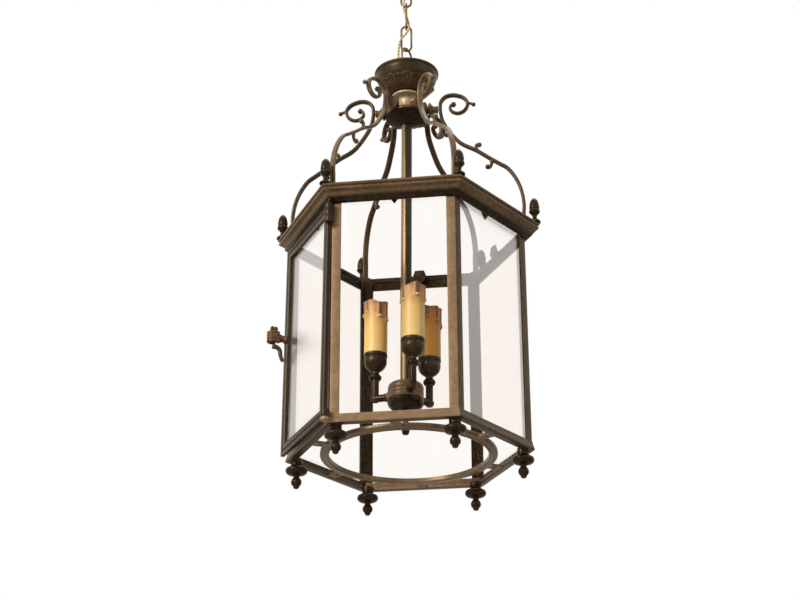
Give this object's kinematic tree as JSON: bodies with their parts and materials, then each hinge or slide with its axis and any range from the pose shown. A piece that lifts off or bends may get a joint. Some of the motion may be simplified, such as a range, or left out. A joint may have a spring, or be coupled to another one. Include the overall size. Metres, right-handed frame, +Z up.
{
  "type": "lantern pendant light",
  "caption": "Hexagonal glazed hall lantern on a chain, with a hinged door, scrolled arms and a cluster of candle lights inside.",
  "frame": {"origin": "centre of the ceiling strap's top face, on the ceiling over the lantern's axis", "axes": "+Z up to the ceiling, along the chain and the stem; -Y to the lantern's front side; the door faces 210 degrees from +X"},
  "size_m": [0.3179, 0.2738, 0.7274],
  "materials": {
    "bronze": "aged brown patina",
    "pale_bronze": "rubbed tan patina",
    "dark_bronze": "dark patina",
    "collar_brass": "pale polished brass",
    "gold_flex": "twisted gold braid",
    "wax": "cream and amber wax",
    "bakelite": "black moulded",
    "glass": "clear, bevelled edges"
  },
  "bodies": {
    "ceiling": {"ceiling_rose": "pale_bronze", "ceiling_hook": "dark_bronze", "flex_rose": "gold_flex"},
    "link_top": {"chain_link_top": "bronze", "flex_upper": "gold_flex"},
    "link_middle": {"chain_link_middle": "bronze", "flex_middle": "gold_flex"},
    "link_bottom": {"chain_link_bottom": "bronze"},
    "lantern": {"top_loop": "pale_bronze", "flex_lower": "gold_flex", "top_cup": "dark_bronze", "collar": "collar_brass", "arm_hub": "bronze", "fluted_bowl": "dark_bronze", "scroll_arm_1": "pale_bronze", "scroll_arm_2": "pale_bronze", "scroll_arm_3": "pale_bronze", "scroll_arm_4": "pale_bronze", "scroll_arm_5": "pale_bronze", "scroll_arm_6": "pale_bronze", "cornice": "pale_bronze", "base_ring": "pale_bronze", "base_circle": "bronze", "post_1": "bronze", "post_2": "bronze", "post_3": "bronze", "post_4": "bronze", "post_5": "bronze", "post_6": "bronze", "acorn_1": "pale_bronze", "acorn_2": "pale_bronze", "acorn_3": "pale_bronze", "acorn_4": "pale_bronze", "acorn_5": "pale_bronze", "acorn_6": "pale_bronze", "pane_1": "glass", "pane_2": "glass", "pane_3": "glass", "pane_4": "glass", "pane_5": "glass", "stem": "pale_bronze", "cluster_drum": "bronze", "cluster_cap": "dark_bronze", "cluster_nut": "dark_bronze", "candle_arm_1": "bronze", "candle_arm_2": "bronze", "candle_arm_3": "bronze", "candle_cup_1": "dark_bronze", "candle_cup_2": "dark_bronze", "candle_cup_3": "dark_bronze", "candle_sleeve_1": "wax", "candle_sleeve_2": "wax", "candle_sleeve_3": "wax", "lampholder_1": "bakelite", "lampholder_2": "bakelite", "lampholder_3": "bakelite"},
    "door": {"door_frame": "bronze", "door_glass": "glass", "latch_hand": "bronze"},
    "bolt": {"latch_bolt": "pale_bronze"}
  },
  "joints": [
    {"name": "top_link_swing", "type": "hinge", "parent": "ceiling", "child": "link_top", "pos_m": [0, 0, -0.0723], "axis": [-0.1392, 0.9903, 0], "range_deg": [-25, 25], "deforming": ["flex_rose"]},
    {"name": "middle_link_swing", "type": "hinge", "parent": "link_top", "child": "link_middle", "pos_m": [0, 0, -0.10345], "axis": [0.9903, 0.1392, 0], "range_deg": [-25, 25], "deforming": ["flex_upper"]},
    {"name": "bottom_link_swing", "type": "hinge", "parent": "link_middle", "child": "link_bottom", "pos_m": [0, 0, -0.13575], "axis": [-0.1392, 0.9903, 0], "range_deg": [-25, 25], "deforming": ["flex_middle"]},
    {"name": "lantern_swing", "type": "hinge", "parent": "link_bottom", "child": "lantern", "pos_m": [0, 0, -0.16805], "axis": [0.9903, 0.1392, 0], "range_deg": [-20, 20], "deforming": ["flex_lower"]},
    {"name": "door_hinge", "type": "hinge", "parent": "lantern", "child": "door", "pos_m": [-0.07223, -0.1251, -0.5644], "axis": [0.0076, 0.0044, 1], "range_deg": [-1, 104]},
    {"name": "latch_turn", "type": "hinge", "parent": "door", "child": "bolt", "pos_m": [-0.15293, -0.0193, -0.55125], "axis": [0.0076, 0.0044, 1], "range_deg": [-90, 90]}
  ]
}
